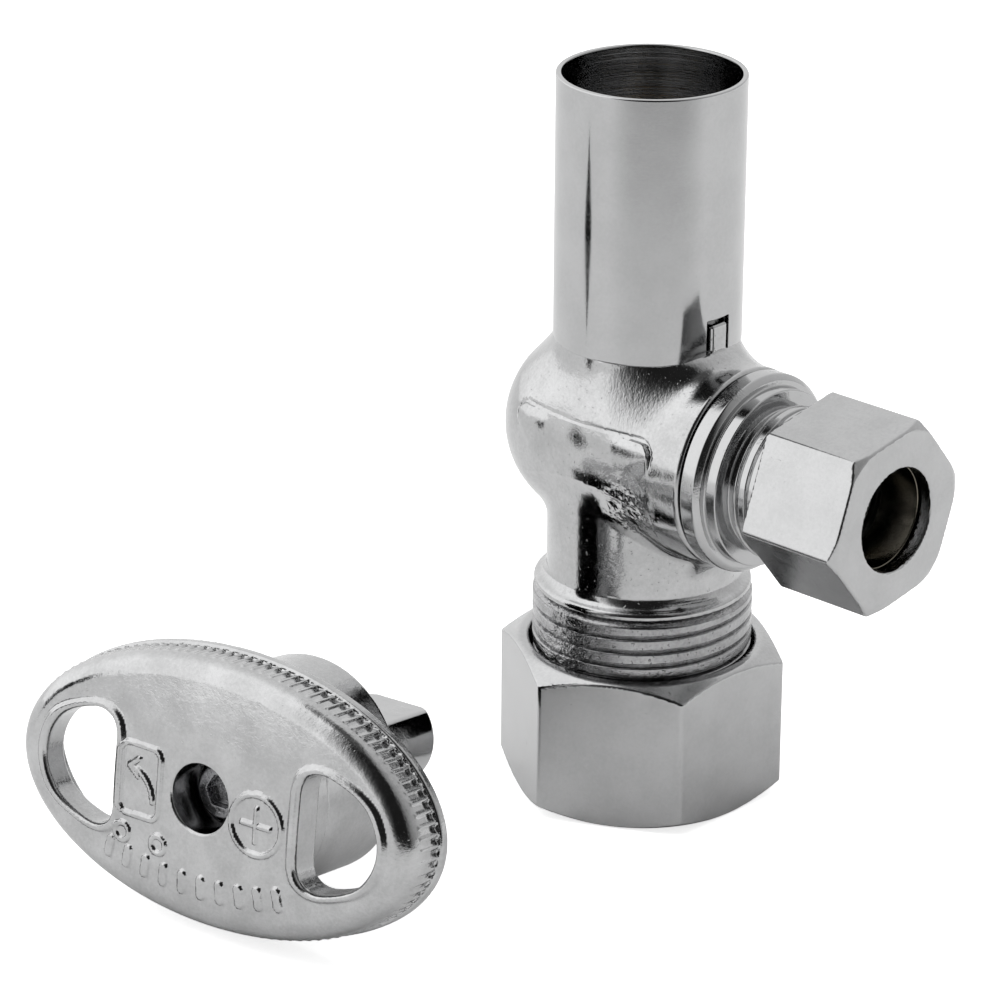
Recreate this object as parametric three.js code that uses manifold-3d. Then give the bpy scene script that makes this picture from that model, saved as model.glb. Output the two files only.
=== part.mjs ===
// Quarter-turn angle stop valve with its loose oval key. Millimetres, +Z up, the outlet along +X.
// The valve stands on its inlet nut, and the key lies beside it with its face towards -Y.
import * as THREE from "three";
import { mergeVertices } from "three/addons/utils/BufferGeometryUtils.js";
import Module from "manifold-3d";

const wasm = await Module();
wasm.setup();

// ---------------------------------------------------------------- driving dimensions
const INCH = 25.4;
const GAP = 0.3; // clearance between neighbouring pieces
const ROUND = 36; // facets round a turned piece
const SMALL_ROUND = 28; // facets round a small one
const FINE_ROUND = 48; // facets round the shield tube, and round an envelope that trims a hexagon
const COARSE_ROUND = 20; // facets round a screw, a washer or a port
const ARC_STEPS = 10; // facets in an arc of a drawn outline
const PAD_STEPS = 4; // facets in a short one
const OVERLAP = 0.5; // how far joined solids run into each other
const OVERCUT = 1; // how far a cutting solid runs past what it cuts

// Heights are above the inlet nut's lower face, and outlet positions are along +X from the stem's axis.
const AXIS_HEIGHT = 35; // outlet axis
const BARREL = { radius: 9.4, domeCentre: -4.9, domeSteps: 5, end: 12.05, boreRadius: 7.3, boreStart: -8.7 };
const NECK = { radius: 9.03, foot: 22.3, shoulder: 21, shoulderRadius: 10.2, fillet: 0.3, filletTop: 21.7 };
const INLET = { end: 11.9, threadRadius: (13 / 32) * INCH, pitch: INCH / 18, turns: 6 };
const THREAD = { depth: 0.6, crestStart: 0.35, crestEnd: 0.65 }; // shares of the pitch
const INLET_BORE = { tubeRadius: 8.05, mouthRadius: 9.2, mouthDepth: 2, stop: 20.5, waterRadius: 6.2 };
const BOSS = {
  skirtRadius: 8.6, skirtTop: 44.6, radius: 7.85, top: 60.2, edge: 0.5, boreRadius: 6.35,
  floor: 45.6,
};
const STEM_HOLE_RADIUS = 3.3;
const RING_GROOVE = { radius: 7, bottom: 58.2, top: 59.4 };
const PAD = { left: -7.8, right: 8.75, bottom: 30, top: 39.4, face: 9.6, corner: 1.4 };
const WEB = { foot: 25.5, reach: 11.8, halfWidth: 3.5, top: 26.4 };
const LUG = { halfWidth: 1, top: 47.9, inner: 7.5, outer: 8.7 };
const STOP = { angle: 180, halfAngle: 8, inner: 5.1, top: 48.4, margin: 3, travel: 90 };

const TUBE = { outer: 8.68, inner: 8.16, bottom: 44.9, top: 70 };
const NOTCH = { halfWidth: 1.5, top: 48.6 };

const BALL = { radius: 6.6, portRadius: 3.9, slotHalfWidth: 1.2, slotFloor: 39.8 };
const SEAT = { inner: 3.8, outer: 7, near: 4, far: 7 };
const STEM = { spindle: 3, spindleFoot: 42, head: 6.05, headFoot: 46.8, top: 58.1, socketFloor: 53.2 };
const TANG = { foot: 40.1, halfWidth: 0.9, halfLength: 2.8 };
const STEM_GROOVES = { radius: 4.9, halfHeight: 0.75, heights: [50, 52] };
const THRUST_WASHER = { inner: 3.35, outer: 4.5 };
const SNAP_RING = { inner: 5.1, outer: 6.75, bottom: 58.4, top: 59.2, firstAngle: 20, lastAngle: 340 };
const STOP_RECESS = { inner: 4.8, top: 48.7 };

const COLLAR = { start: 12.35, end: 13.85, radius: 9.35 };
const STEP = { start: 14.3, end: 15.6, radius: 8.3 };
const OUTLET = { threadRadius: (9 / 32) * INCH, pitch: INCH / 24, start: 16.3, turns: 5, end: 22 };
const OUTLET_BORE = { waterRadius: 3.6, tubeRadius: 4.9, tubeStop: 16.8, mouthRadius: 5.9, mouthDepth: 1.2 };
const ADAPTER_EDGE = { collarBevel: 0.15, collarRound: 0.45, tip: 0.3, runout: 0.1 };
const TAIL = { radius: 7, start: 7.3, grooveStart: 8.7, grooveEnd: 10.1, grooveRadius: 6 };

// O-rings: the middle of the section runs at this radius, and grooves and seats give their places.
const STEM_SEAL = { radius: 5.625, section: 0.6 };
const ADAPTER_SEAL = { radius: 6.65, section: 0.52 };
const SEAT_SEAL = { radius: 5.9, section: 0.55, offset: -7.85 };
const SEAL_FACETS = { section: 6, round: 24 };

const INLET_NUT = {
  flats: (15 / 16) * INCH, height: 14.7, corner: 27.6, lip: 2.5, hole: 8.1, bore: 10.65,
  bevel: 0.35,
};
const OUTLET_NUT = {
  flats: (5 / 8) * INCH, start: 19.26, end: 29.75, corner: 39.6, lip: 1.2,
  hole: 4.85, bore: 7.45, bevel: -0.25,
};
const CHAMFER_SLOPE = Math.tan(Math.PI / 6); // of a nut's turned corners
const TIP_MARGIN = 0.1; // how far an envelope stands outside what it trims
const INLET_FERRULE = { inner: 8, outer: 9.35, bottom: 2.8, top: 9.2, tip: 8.55, taper: 1.5 };
const OUTLET_FERRULE = { inner: 4.8, outer: 5.55, start: 24.05, end: 28.25, tip: 5.1, taper: 1 };

// The key's own axes: x along its long way, y across it, z out of its face, origin at its back rim.
const OVAL = {
  long: 22.9, short: 12.65, lip: 0.8, bandTop: 3.2, bandInset: 0.35, face: 5.8, shoulder: 1.3,
  sink: 0.8,
};
const OVAL_CURVE = 24; // pairs of facets round the oval
const FACE_INSET = 1.1;
const HOLLOW = { inner: 10.3, long: 19.2, short: 9, arcAngle: 44, cornerX: 10.6, cornerY: 7.2, sideY: 4.2 };
const HUB = { radius: 9.98, length: 10.35, cupRadius: 9, cupDepth: 3.5 };
const BACK = { rim: 1.7, depth: 2.8 }; // the head is hollow behind, between its rim and the hub
const SCREW_WELL = { radius: 3.11, floor: 1, holeRadius: 2.1, webBack: -1.2 };
const SHAFT = {
  radius: 4.6, halfFlat: 3, start: -1.5, end: -23.5, chamfer: 0.6, tapRadius: 2.05, tapDepth: 8,
};
const SCREW = {
  headRadius: 2.75, headTop: 3.2, headFoot: 1.9, crown: 0.5, crownFoot: 2.8,
  shank: 1.75, tip: -8.5, drive: 1.35, driveDepth: 0.9,
};
const SCREW_WASHER = { inner: 2.05, outer: 2.8, bottom: 1.3, top: 1.6 };
const KEY_PLACE = { x: -7.21, y: -45.49, turn: 7.32, lean: 8.86, roll: 1.02 };

// ---------------------------------------------------------------- materials
const chrome = () => new THREE.MeshStandardMaterial({ color: 0xc9cacc, roughness: 0.12, metalness: 1 });
const brass = () => new THREE.MeshStandardMaterial({ color: 0xc9a55a, roughness: 0.3, metalness: 1 });
const steel = () => new THREE.MeshStandardMaterial({ color: 0xa7a9ab, roughness: 0.35, metalness: 1 });
const seatPlastic = () => new THREE.MeshStandardMaterial({ color: 0xf1f0ea, roughness: 0.6, metalness: 0 });
const rubber = () => new THREE.MeshStandardMaterial({ color: 0x18181a, roughness: 0.7, metalness: 0 });

// ---------------------------------------------------------------- solids, joined and cut
const radians = (degrees) => (degrees * Math.PI) / 180;

function toManifold(geometry) {
  const bare = geometry.clone();
  bare.deleteAttribute("normal");
  bare.deleteAttribute("uv");
  const merged = mergeVertices(bare);
  const corners = merged.index.array;
  const triangles = [];
  for (let i = 0; i < corners.length; i += 3) {
    const [a, b, c] = corners.slice(i, i + 3);
    if (a !== b && b !== c && c !== a) triangles.push(a, b, c);
  }
  return new wasm.Manifold(
    new wasm.Mesh({
      numProp: 3,
      vertProperties: merged.attributes.position.array,
      triVerts: Uint32Array.from(triangles),
    }),
  );
}

function toGeometry(manifold) {
  const { vertProperties, triVerts } = manifold.getMesh();
  const geometry = new THREE.BufferGeometry();
  geometry.setAttribute("position", new THREE.BufferAttribute(vertProperties, 3));
  geometry.setIndex(new THREE.BufferAttribute(triVerts, 1));
  return geometry;
}

function combine(operation, first, others) {
  let result = toManifold(first);
  for (const other of others) result = result[operation](toManifold(other));
  return toGeometry(result);
}

const join = (first, ...others) => combine("add", first, others);
const cut = (first, ...others) => combine("subtract", first, others);
const overlap = (first, ...others) => combine("intersect", first, others);

// A turned solid about Z from [radius, height] points, on the axis at both ends or closed on itself.
function turned(profile, facets = ROUND) {
  const points = profile.map(([radius, height]) => new THREE.Vector2(radius, height));
  if (THREE.ShapeUtils.area(points) < 0) points.reverse();
  const meetsAxis = points[0].x === 0 && points.at(-1).x === 0;
  if (!meetsAxis) points.push(points[0].clone());
  return new THREE.LatheGeometry(points, facets).rotateX(Math.PI / 2);
}

const rod = (radius, from, to, facets = ROUND) =>
  turned([[0, from], [radius, from], [radius, to], [0, to]], facets);

const ring = (inner, outer, from, to, facets = ROUND) =>
  turned([[inner, from], [outer, from], [outer, to], [inner, to]], facets);

function prism(shape, from, to, curveSegments = 12) {
  const options = { depth: to - from, bevelEnabled: false, curveSegments };
  return new THREE.ExtrudeGeometry(shape, options).translate(0, 0, from);
}

function block([x0, y0, z0], [x1, y1, z1]) {
  const box = new THREE.BoxGeometry(x1 - x0, y1 - y0, z1 - z0);
  return box.translate((x0 + x1) / 2, (y0 + y1) / 2, (z0 + z1) / 2);
}

// Turns a solid made about Z so that it lies about the outlet's axis.
const alongOutlet = (geometry) => geometry.rotateY(Math.PI / 2).translate(0, 0, AXIS_HEIGHT);

// ---------------------------------------------------------------- shapes
function hexagon(flats, firstCorner) {
  const radius = flats / 2 / Math.cos(Math.PI / 6);
  const corners = Array.from({ length: 6 }, (_, k) => {
    const angle = radians(firstCorner + 60 * k);
    return new THREE.Vector2(radius * Math.cos(angle), radius * Math.sin(angle));
  });
  return new THREE.Shape(corners);
}

// A part of a flat ring, between two angles in degrees.
function ringSector(inner, outer, from, to) {
  const shape = new THREE.Shape();
  shape.absarc(0, 0, outer, radians(from), radians(to), false);
  shape.absarc(0, 0, inner, radians(to), radians(from), true);
  shape.closePath();
  return shape;
}

// A round bar's section with two flats, at plus and minus halfFlat in y.
function doubleD(radius, halfFlat) {
  const edge = Math.asin(halfFlat / radius);
  const shape = new THREE.Shape();
  shape.absarc(0, 0, radius, -edge, edge, false);
  shape.absarc(0, 0, radius, Math.PI - edge, Math.PI + edge, false);
  shape.closePath();
  return shape;
}

function oval(long, short) {
  const shape = new THREE.Shape();
  shape.absellipse(0, 0, long, short, 0, 2 * Math.PI, false);
  return shape;
}

function roundedBox(left, bottom, right, top, corner) {
  const shape = new THREE.Shape();
  shape.absarc(right - corner, bottom + corner, corner, -Math.PI / 2, 0, false);
  shape.absarc(right - corner, top - corner, corner, 0, Math.PI / 2, false);
  shape.absarc(left + corner, top - corner, corner, Math.PI / 2, Math.PI, false);
  shape.absarc(left + corner, bottom + corner, corner, Math.PI, 1.5 * Math.PI, false);
  shape.closePath();
  return shape;
}

// Profile points of a male thread's crests and roots, one pitch after another.
function threadProfile({ threadRadius, pitch, turns }, from) {
  const root = threadRadius - THREAD.depth * pitch;
  const points = [];
  for (let k = 0; k < turns; k += 1) {
    const z = from + k * pitch;
    points.push([root, z]);
    points.push([threadRadius, z + THREAD.crestStart * pitch]);
    points.push([threadRadius, z + THREAD.crestEnd * pitch]);
  }
  points.push([root, from + turns * pitch]);
  return points;
}

// ---------------------------------------------------------------- valve body
// Inlet thread, neck and boss, one above the other.
function upright() {
  return turned([
    [0, INLET.end],
    ...threadProfile(INLET, INLET.end),
    [NECK.shoulderRadius, NECK.shoulder - TIP_MARGIN],
    [NECK.shoulderRadius, NECK.shoulder],
    [NECK.radius + NECK.fillet, NECK.filletTop],
    [NECK.radius, NECK.foot],
    [NECK.radius, AXIS_HEIGHT],
    [BOSS.skirtRadius, AXIS_HEIGHT],
    [BOSS.skirtRadius, BOSS.skirtTop],
    [BOSS.radius, BOSS.skirtTop],
    [BOSS.radius, BOSS.top - BOSS.edge],
    [BOSS.radius - BOSS.edge, BOSS.top],
    [0, BOSS.top],
  ]);
}

// The barrel, with its round blind end.
function barrel() {
  const dome = Array.from({ length: BARREL.domeSteps + 1 }, (_, k) => {
    const angle = (Math.PI / 2) * (k / BARREL.domeSteps);
    return [BARREL.radius * Math.sin(angle), BARREL.domeCentre - BARREL.radius * Math.cos(angle)];
  });
  dome[0][0] = 0;
  return alongOutlet(turned([...dome, [BARREL.radius, BARREL.end], [0, BARREL.end]]));
}

// A raised pad on the barrel's front and its twin on the back.
function sidePads() {
  const shape = roundedBox(PAD.left, PAD.bottom, PAD.right, PAD.top, PAD.corner);
  return prism(shape, -PAD.face, PAD.face, PAD_STEPS).rotateX(Math.PI / 2);
}

// The web that ties the neck to the barrel's underside, below the outlet.
function throatWeb() {
  const shape = new THREE.Shape([
    new THREE.Vector2(0, WEB.foot),
    new THREE.Vector2(NECK.radius - OVERLAP, WEB.foot),
    new THREE.Vector2(WEB.reach, WEB.top),
    new THREE.Vector2(0, AXIS_HEIGHT),
  ]);
  return prism(shape, -WEB.halfWidth, WEB.halfWidth).rotateX(Math.PI / 2);
}

function waterways() {
  const mouthTop = INLET.end + INLET_BORE.mouthDepth;
  const inlet = turned([
    [0, INLET.end - OVERCUT],
    [INLET_BORE.mouthRadius, INLET.end - OVERCUT],
    [INLET_BORE.mouthRadius, INLET.end],
    [INLET_BORE.tubeRadius, mouthTop],
    [INLET_BORE.tubeRadius, INLET_BORE.stop],
    [INLET_BORE.waterRadius, INLET_BORE.stop],
    [INLET_BORE.waterRadius, AXIS_HEIGHT],
    [0, AXIS_HEIGHT],
  ]);
  const chamber = alongOutlet(rod(BARREL.boreRadius, BARREL.boreStart, BARREL.end + OVERCUT));
  return join(inlet, chamber);
}

function stemBores() {
  return join(
    rod(STEM_HOLE_RADIUS, AXIS_HEIGHT, BOSS.floor + OVERCUT, SMALL_ROUND),
    rod(BOSS.boreRadius, BOSS.floor, BOSS.top + OVERCUT),
    rod(RING_GROOVE.radius, RING_GROOVE.bottom, RING_GROOVE.top),
  );
}

// The nib on the boss's floor that stops the stem at open and at closed.
function stopNib() {
  const { angle, halfAngle, inner, top } = STOP;
  const shape = ringSector(inner, BOSS.boreRadius + OVERLAP, angle - halfAngle, angle + halfAngle);
  return prism(shape, BOSS.floor - OVERLAP, top, PAD_STEPS);
}

function valveBody() {
  const lugLow = [LUG.inner, -LUG.halfWidth, BOSS.skirtTop - OVERLAP];
  const lug = block(lugLow, [LUG.outer, LUG.halfWidth, LUG.top]);
  const forging = join(upright(), barrel(), sidePads(), throatWeb(), lug);
  return join(cut(forging, waterways(), stemBores()), stopNib());
}

// ---------------------------------------------------------------- outlet adapter, about the outlet's axis
function outletAdapter() {
  const threadEnd = OUTLET.start + OUTLET.turns * OUTLET.pitch;
  const mouthStart = OUTLET.end - OUTLET_BORE.mouthDepth;
  const root = OUTLET.threadRadius - THREAD.depth * OUTLET.pitch;
  const { collarBevel, collarRound, tip, runout } = ADAPTER_EDGE;
  return turned([
    [OUTLET_BORE.waterRadius, TAIL.start],
    [TAIL.radius, TAIL.start],
    [TAIL.radius, TAIL.grooveStart],
    [TAIL.grooveRadius, TAIL.grooveStart],
    [TAIL.grooveRadius, TAIL.grooveEnd],
    [TAIL.radius, TAIL.grooveEnd],
    [TAIL.radius, COLLAR.start],
    [COLLAR.radius, COLLAR.start],
    [COLLAR.radius - collarBevel, COLLAR.end],
    [COLLAR.radius - collarRound, STEP.start],
    [STEP.radius, STEP.start],
    [STEP.radius, STEP.end],
    [root, STEP.end + tip],
    ...threadProfile(OUTLET, OUTLET.start),
    [root, threadEnd + runout],
    [root - tip, OUTLET.end],
    [OUTLET_BORE.mouthRadius, OUTLET.end],
    [OUTLET_BORE.tubeRadius, mouthStart],
    [OUTLET_BORE.tubeRadius, OUTLET_BORE.tubeStop],
    [OUTLET_BORE.waterRadius, OUTLET_BORE.tubeStop],
  ], SMALL_ROUND);
}

// ---------------------------------------------------------------- ball, seats, stem and their seals
// The L-shaped port opens down and to the outlet, and the slot on top takes the stem's tang.
function ball() {
  const { radius, portRadius, slotHalfWidth, slotFloor } = BALL;
  const sphere = new THREE.SphereGeometry(radius, SMALL_ROUND, SMALL_ROUND / 2).translate(0, 0, AXIS_HEIGHT);
  const down = rod(portRadius, AXIS_HEIGHT - radius - OVERCUT, AXIS_HEIGHT, COARSE_ROUND);
  const across = alongOutlet(rod(portRadius, -portRadius / 2, radius + OVERCUT, COARSE_ROUND));
  const slotHigh = [radius, slotHalfWidth, AXIS_HEIGHT + radius + OVERCUT];
  const slot = block([-radius, -slotHalfWidth, slotFloor], slotHigh);
  return cut(sphere, down, across, slot);
}

// A seat ring about the outlet's axis, hollowed to the ball's curve.
function seat(side) {
  const from = Math.min(side * SEAT.near, side * SEAT.far);
  const to = Math.max(side * SEAT.near, side * SEAT.far);
  const curve = new THREE.SphereGeometry(BALL.radius + GAP, SMALL_ROUND, SMALL_ROUND / 2);
  return cut(ring(SEAT.inner, SEAT.outer, from, to, SMALL_ROUND), curve);
}

const seal = ({ radius, section }) =>
  new THREE.TorusGeometry(radius, section, SEAL_FACETS.section, SEAL_FACETS.round);

function stem() {
  const { spindle, spindleFoot, head, headFoot, top, socketFloor } = STEM;
  const { radius, halfHeight, heights } = STEM_GROOVES;
  const grooves = heights.flatMap((z) => [
    [head, z - halfHeight],
    [radius, z - halfHeight],
    [radius, z + halfHeight],
    [head, z + halfHeight],
  ]);
  const round = turned([
    [0, spindleFoot],
    [spindle, spindleFoot],
    [spindle, headFoot],
    [head, headFoot],
    ...grooves,
    [head, top],
    [0, top],
  ], SMALL_ROUND);
  const tangLow = [-TANG.halfLength, -TANG.halfWidth, TANG.foot];
  const tangHigh = [TANG.halfLength, TANG.halfWidth, spindleFoot + OVERLAP];
  const socketShape = doubleD(SHAFT.radius + GAP, SHAFT.halfFlat + GAP);
  const socket = prism(socketShape, socketFloor, top + OVERCUT, ARC_STEPS);
  const firstSide = STOP.angle - STOP.halfAngle - STOP.margin;
  const lastSide = STOP.angle + STOP.travel + STOP.halfAngle + STOP.margin;
  const recessShape = ringSector(STOP_RECESS.inner, head + OVERCUT, firstSide, lastSide);
  const recess = prism(recessShape, headFoot - OVERCUT, STOP_RECESS.top, ARC_STEPS);
  return cut(join(round, block(tangLow, tangHigh)), socket, recess);
}

// The snap ring above the stem, open at one side.
function retainingRing() {
  const { inner, outer, bottom, top, firstAngle, lastAngle } = SNAP_RING;
  return prism(ringSector(inner, outer, firstAngle, lastAngle), bottom, top, COARSE_ROUND);
}

// ---------------------------------------------------------------- shield tube
function shieldTube() {
  const tube = ring(TUBE.inner, TUBE.outer, TUBE.bottom, TUBE.top, FINE_ROUND);
  const low = [TUBE.inner - OVERCUT, -NOTCH.halfWidth, TUBE.bottom - OVERCUT];
  const high = [TUBE.outer + OVERCUT, NOTCH.halfWidth, NOTCH.top];
  return cut(tube, block(low, high));
}

// ---------------------------------------------------------------- nuts and ferrules
// A hexagon between two heights with its corners turned off at the top, and at the bottom if asked.
function hexBar({ flats, corner, bevel }, from, to, bothEnds) {
  const tipRadius = flats / 2 / Math.cos(Math.PI / 6) + TIP_MARGIN;
  const faceRadius = flats / 2 - bevel;
  const drop = (tipRadius - faceRadius) * CHAMFER_SLOPE;
  const lower = bothEnds ? [[faceRadius, from], [tipRadius, from + drop]] : [[tipRadius, from]];
  const profile = [[0, from], ...lower, [tipRadius, to - drop], [faceRadius, to], [0, to]];
  const envelope = turned(profile, FINE_ROUND);
  return overlap(prism(hexagon(flats, corner), from, to), envelope);
}

function inletNut() {
  const { height, lip, hole, bore } = INLET_NUT;
  const bar = hexBar(INLET_NUT, 0, height, true);
  return cut(bar, rod(hole, -OVERCUT, lip + OVERCUT), rod(bore, lip, height + OVERCUT));
}

function outletNut() {
  const { start, end, lip, hole, bore } = OUTLET_NUT;
  const bar = hexBar(OUTLET_NUT, start, end, false);
  return cut(bar, rod(hole, end - lip - OVERCUT, end + OVERCUT), rod(bore, start - OVERCUT, end - lip));
}

function ferrule({ inner, outer, tip, taper }, from, to, facets) {
  const outside = [[tip, from], [outer, from + taper], [outer, to - taper], [tip, to]];
  return turned([[inner, from], ...outside, [inner, to]], facets);
}

// ---------------------------------------------------------------- key
// One finger opening, on the side given by its sign: a straight inner edge and an arc outside.
function fingerOpening(side) {
  const { inner, long, short, arcAngle, cornerX, cornerY, sideY } = HOLLOW;
  const angle = radians(arcAngle);
  const [arcX, arcY] = [long * Math.cos(angle), short * Math.sin(angle)];
  const shape = new THREE.Shape();
  shape.moveTo(inner, -sideY);
  shape.quadraticCurveTo(cornerX, -cornerY, arcX, -arcY);
  shape.absellipse(0, 0, long, short, -angle, angle, false);
  shape.quadraticCurveTo(cornerX, cornerY, inner, sideY);
  shape.closePath();
  const opening = prism(shape, -OVERCUT, OVAL.face + OVERCUT, ARC_STEPS);
  return side > 0 ? opening : opening.rotateZ(Math.PI);
}

// The oval head: a thin lip, the band that is knurled, and a face with a rounded shoulder.
function ovalHead() {
  const { long, short, lip, bandTop, bandInset, face, shoulder, sink } = OVAL;
  const back = prism(oval(long, short), 0, lip, OVAL_CURVE);
  const band = prism(oval(long - bandInset, short - bandInset), lip / 2, bandTop, OVAL_CURVE);
  const inset = FACE_INSET + shoulder;
  const front = new THREE.ExtrudeGeometry(oval(long - inset, short - inset), {
    depth: face - bandTop + sink - 2 * shoulder,
    bevelThickness: shoulder,
    bevelSize: shoulder,
    bevelSegments: 2,
    curveSegments: OVAL_CURVE,
  });
  return join(back, band, front.translate(0, 0, bandTop - sink + shoulder));
}

// The hollow behind the head, all round the hub.
function backHollow() {
  const { rim, depth } = BACK;
  const hollow = prism(oval(OVAL.long - rim, OVAL.short - rim), -OVERCUT, depth, OVAL_CURVE);
  return cut(hollow, rod(HUB.radius, -2 * OVERCUT, depth + OVERCUT));
}

function keyHandle() {
  const { radius, length, cupRadius, cupDepth } = HUB;
  const hub = rod(radius, -length, OVAL.lip / 2);
  const cup = rod(cupRadius, -length - OVERCUT, cupDepth - length);
  const socketShape = doubleD(SHAFT.radius + GAP, SHAFT.halfFlat + GAP);
  const socket = prism(socketShape, -length, SCREW_WELL.webBack, ARC_STEPS);
  const well = rod(SCREW_WELL.radius, SCREW_WELL.floor, OVAL.face + OVERCUT, SMALL_ROUND);
  const { holeRadius, webBack, floor } = SCREW_WELL;
  const screwHole = rod(holeRadius, webBack - OVERCUT, floor + OVERCUT, COARSE_ROUND);
  const solid = join(ovalHead(), hub);
  const openings = [fingerOpening(1), fingerOpening(-1)];
  return cut(solid, backHollow(), cup, socket, well, screwHole, ...openings);
}

function keyShaft() {
  const { radius, halfFlat, start, end, chamfer, tapRadius, tapDepth } = SHAFT;
  const bar = prism(doubleD(radius, halfFlat), end, start, ARC_STEPS);
  const envelope = turned([
    [0, end],
    [radius - chamfer, end],
    [radius + TIP_MARGIN, end + chamfer + TIP_MARGIN],
    [radius + TIP_MARGIN, start],
    [0, start],
  ]);
  return cut(overlap(bar, envelope), rod(tapRadius, start - tapDepth, start + OVERCUT, COARSE_ROUND));
}

function keyScrew() {
  const { headRadius, headTop, headFoot, crown, crownFoot, shank, tip, drive, driveDepth } = SCREW;
  const body = turned([
    [0, tip],
    [shank, tip],
    [shank, headFoot],
    [headRadius, headFoot],
    [headRadius, crownFoot],
    [headRadius - crown, headTop],
    [0, headTop],
  ], COARSE_ROUND);
  return cut(body, prism(hexagon(2 * drive, 0), headTop - driveDepth, headTop + OVERCUT));
}

// ---------------------------------------------------------------- assembly
function place(group, name, geometry, material) {
  const mesh = new THREE.Mesh(geometry, material);
  mesh.name = name;
  group.add(mesh);
  return mesh;
}

function outletParts() {
  const group = new THREE.Group();
  group.position.z = AXIS_HEIGHT;
  group.rotation.y = Math.PI / 2;
  place(group, "outlet_adapter", outletAdapter(), chrome());
  const middle = (TAIL.grooveStart + TAIL.grooveEnd) / 2;
  place(group, "adapter_o_ring", seal(ADAPTER_SEAL), rubber()).position.z = middle;
  place(group, "front_seat", seat(1), seatPlastic());
  place(group, "rear_seat", seat(-1), seatPlastic());
  place(group, "seat_o_ring", seal(SEAT_SEAL), rubber()).position.z = SEAT_SEAL.offset;
  const { start, end } = OUTLET_FERRULE;
  place(group, "outlet_ferrule", ferrule(OUTLET_FERRULE, start, end, SMALL_ROUND), brass());
  place(group, "outlet_nut", outletNut(), chrome());
  return group;
}

function stemParts() {
  const group = new THREE.Group();
  place(group, "stem", stem(), brass());
  place(group, "ball", ball(), chrome());
  const { inner, outer } = THRUST_WASHER;
  const washer = ring(inner, outer, BOSS.floor + GAP, STEM.headFoot - GAP, SMALL_ROUND);
  place(group, "stem_thrust_washer", washer, seatPlastic());
  const [lower, upper] = STEM_GROOVES.heights;
  place(group, "stem_o_ring_lower", seal(STEM_SEAL), rubber()).position.z = lower;
  place(group, "stem_o_ring_upper", seal(STEM_SEAL), rubber()).position.z = upper;
  place(group, "stem_retaining_ring", retainingRing(), steel());
  return group;
}

function keyParts() {
  const { x, y, turn, lean, roll } = KEY_PLACE;
  const upLong = OVAL.long * Math.sin(radians(roll));
  const upShort = OVAL.short * Math.cos(radians(roll));
  const parts = new THREE.Group();
  parts.rotation.z = radians(roll);
  place(parts, "key_handle", keyHandle(), chrome());
  place(parts, "key_shaft", keyShaft(), chrome());
  place(parts, "key_screw", keyScrew(), steel());
  const { inner, outer, bottom, top } = SCREW_WASHER;
  place(parts, "key_screw_washer", ring(inner, outer, bottom, top, COARSE_ROUND), steel());
  const leaning = new THREE.Group();
  leaning.rotation.x = radians(90 - lean);
  leaning.add(parts);
  const key = new THREE.Group();
  key.rotation.z = radians(turn);
  key.position.set(x, y, Math.hypot(upLong, upShort) * Math.cos(radians(lean)));
  key.add(leaning);
  return key;
}

function inletParts() {
  const group = new THREE.Group();
  const { bottom, top } = INLET_FERRULE;
  place(group, "inlet_ferrule", ferrule(INLET_FERRULE, bottom, top, ROUND), brass());
  place(group, "inlet_nut", inletNut(), chrome());
  return group;
}

const valve = new THREE.Group();
place(valve, "valve_body", valveBody(), chrome());
place(valve, "shield_tube", shieldTube(), chrome());
valve.add(outletParts(), stemParts(), inletParts(), keyParts());

// The origin is below the middle of the whole set, on the surface that it stands on.
const extent = new THREE.Box3().setFromObject(valve, true);
const middle = extent.getCenter(new THREE.Vector3());
valve.position.set(-middle.x, -middle.y, -extent.min.z);

const assembly = new THREE.Group();
assembly.add(valve);

export default assembly;
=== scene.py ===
"""Looks for the quarter-turn angle stop valve and its loose oval key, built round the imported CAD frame.

Shapes are worked out in millimetres, each in the axes of its own group: the valve's, with z up the stem, the
outlet's, with z along it, or the key's, with z out of its face. Each mesh is then stored in metres."""

import functools
import math
from types import SimpleNamespace as Sizes

import bpy
import numpy as np
from mathutils import Matrix, Vector


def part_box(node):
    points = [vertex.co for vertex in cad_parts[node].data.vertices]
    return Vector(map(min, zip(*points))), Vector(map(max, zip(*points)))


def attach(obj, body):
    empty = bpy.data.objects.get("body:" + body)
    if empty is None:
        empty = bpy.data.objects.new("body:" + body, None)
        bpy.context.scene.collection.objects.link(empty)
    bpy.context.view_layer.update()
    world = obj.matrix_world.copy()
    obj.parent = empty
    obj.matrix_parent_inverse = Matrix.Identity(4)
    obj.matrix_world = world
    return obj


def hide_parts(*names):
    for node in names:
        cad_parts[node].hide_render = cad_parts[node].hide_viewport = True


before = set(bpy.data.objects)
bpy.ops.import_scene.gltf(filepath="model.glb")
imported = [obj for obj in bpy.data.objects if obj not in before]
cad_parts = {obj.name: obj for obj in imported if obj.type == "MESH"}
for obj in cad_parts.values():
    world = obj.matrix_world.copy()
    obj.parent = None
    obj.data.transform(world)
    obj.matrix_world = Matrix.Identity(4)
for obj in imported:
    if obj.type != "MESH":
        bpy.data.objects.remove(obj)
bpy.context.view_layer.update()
scene = bpy.context.scene

# ---- driving dimensions, in millimetres and degrees
MM = 0.001
INCH = 25.4
AXIS_HEIGHT = 35
STEP, COARSE_STEP = 0.22, 0.3  # sampling steps of the shaped pieces, coarse out of sight
KEY_STEP, SCREW_STEP, RING_STEP = 0.19, 0.1, 0.14
ROUND_COLUMNS, FERRULE_COLUMNS, SMALL_COLUMNS = 144, 120, 96  # facets round a turned piece

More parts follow.
